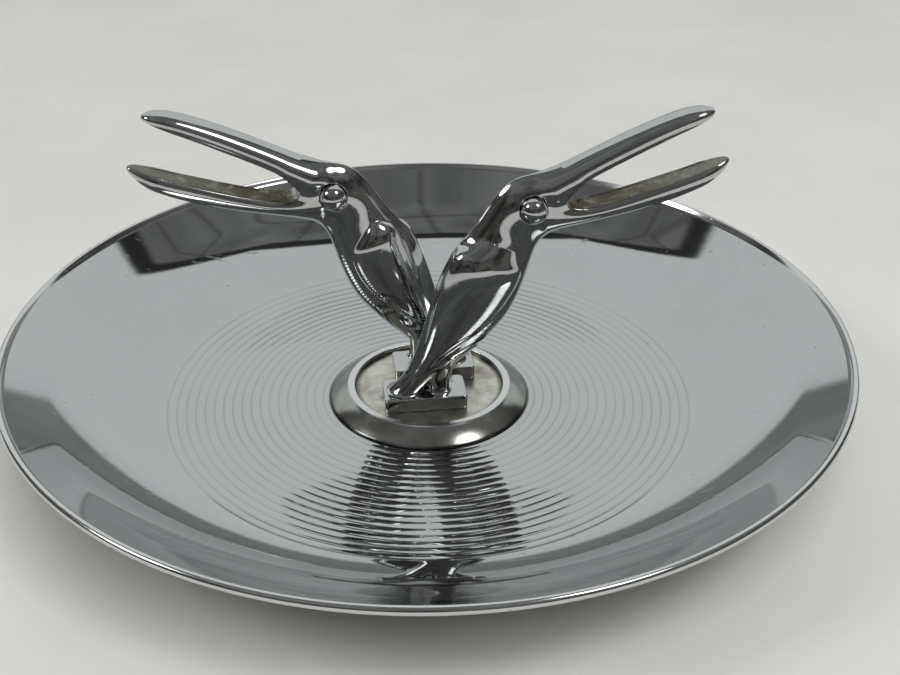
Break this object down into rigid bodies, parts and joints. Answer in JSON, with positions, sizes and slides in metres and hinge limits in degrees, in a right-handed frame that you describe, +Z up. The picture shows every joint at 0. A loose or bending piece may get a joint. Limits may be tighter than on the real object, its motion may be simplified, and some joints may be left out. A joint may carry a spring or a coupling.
{
  "type": "hood ornament style bird ashtray",
  "caption": "Round chromed dish with turned grooves and a bevelled hub that carries two crossed, mascot-style birds with long open bills.",
  "frame": {"origin": "middle of the face that it rests on, on the dish's axis", "axes": "+Z up along the dish's axis; +X towards the front bird's bill tips; -Y towards the front bird"},
  "size_m": [0.23, 0.23, 0.0893],
  "materials": {
    "dish_chrome": "bright chrome plate, lightly pitted and scratched",
    "bird_chrome": "bright chrome plate, stained inside the bills",
    "ring_chrome": "chrome plate with a worn, satin bevel",
    "dull_plate": "dull, tarnished and dirty",
    "eye_chrome": "polished",
    "screw_steel": "zinc plated",
    "washer_steel": "zinc plated, dulled",
    "felt": "pressed wool felt"
  },
  "bodies": {
    "root": {"dish": "dish_chrome", "felt_ring": "felt", "hub_ring": "ring_chrome", "hub_plate": "dull_plate", "front_bird": "bird_chrome", "rear_bird": "bird_chrome", "front_bird_eye_near": "eye_chrome", "front_bird_eye_far": "eye_chrome", "rear_bird_eye_near": "eye_chrome", "rear_bird_eye_far": "eye_chrome", "screw_front_outer": "screw_steel", "screw_front_inner": "screw_steel", "screw_rear_outer": "screw_steel", "screw_rear_inner": "screw_steel", "lock_washer_front_outer": "washer_steel", "lock_washer_front_inner": "washer_steel", "lock_washer_rear_outer": "washer_steel", "lock_washer_rear_inner": "washer_steel", "flat_washer_front_outer": "washer_steel", "flat_washer_front_inner": "washer_steel", "flat_washer_rear_outer": "washer_steel", "flat_washer_rear_inner": "washer_steel"}
  },
  "joints": []
}
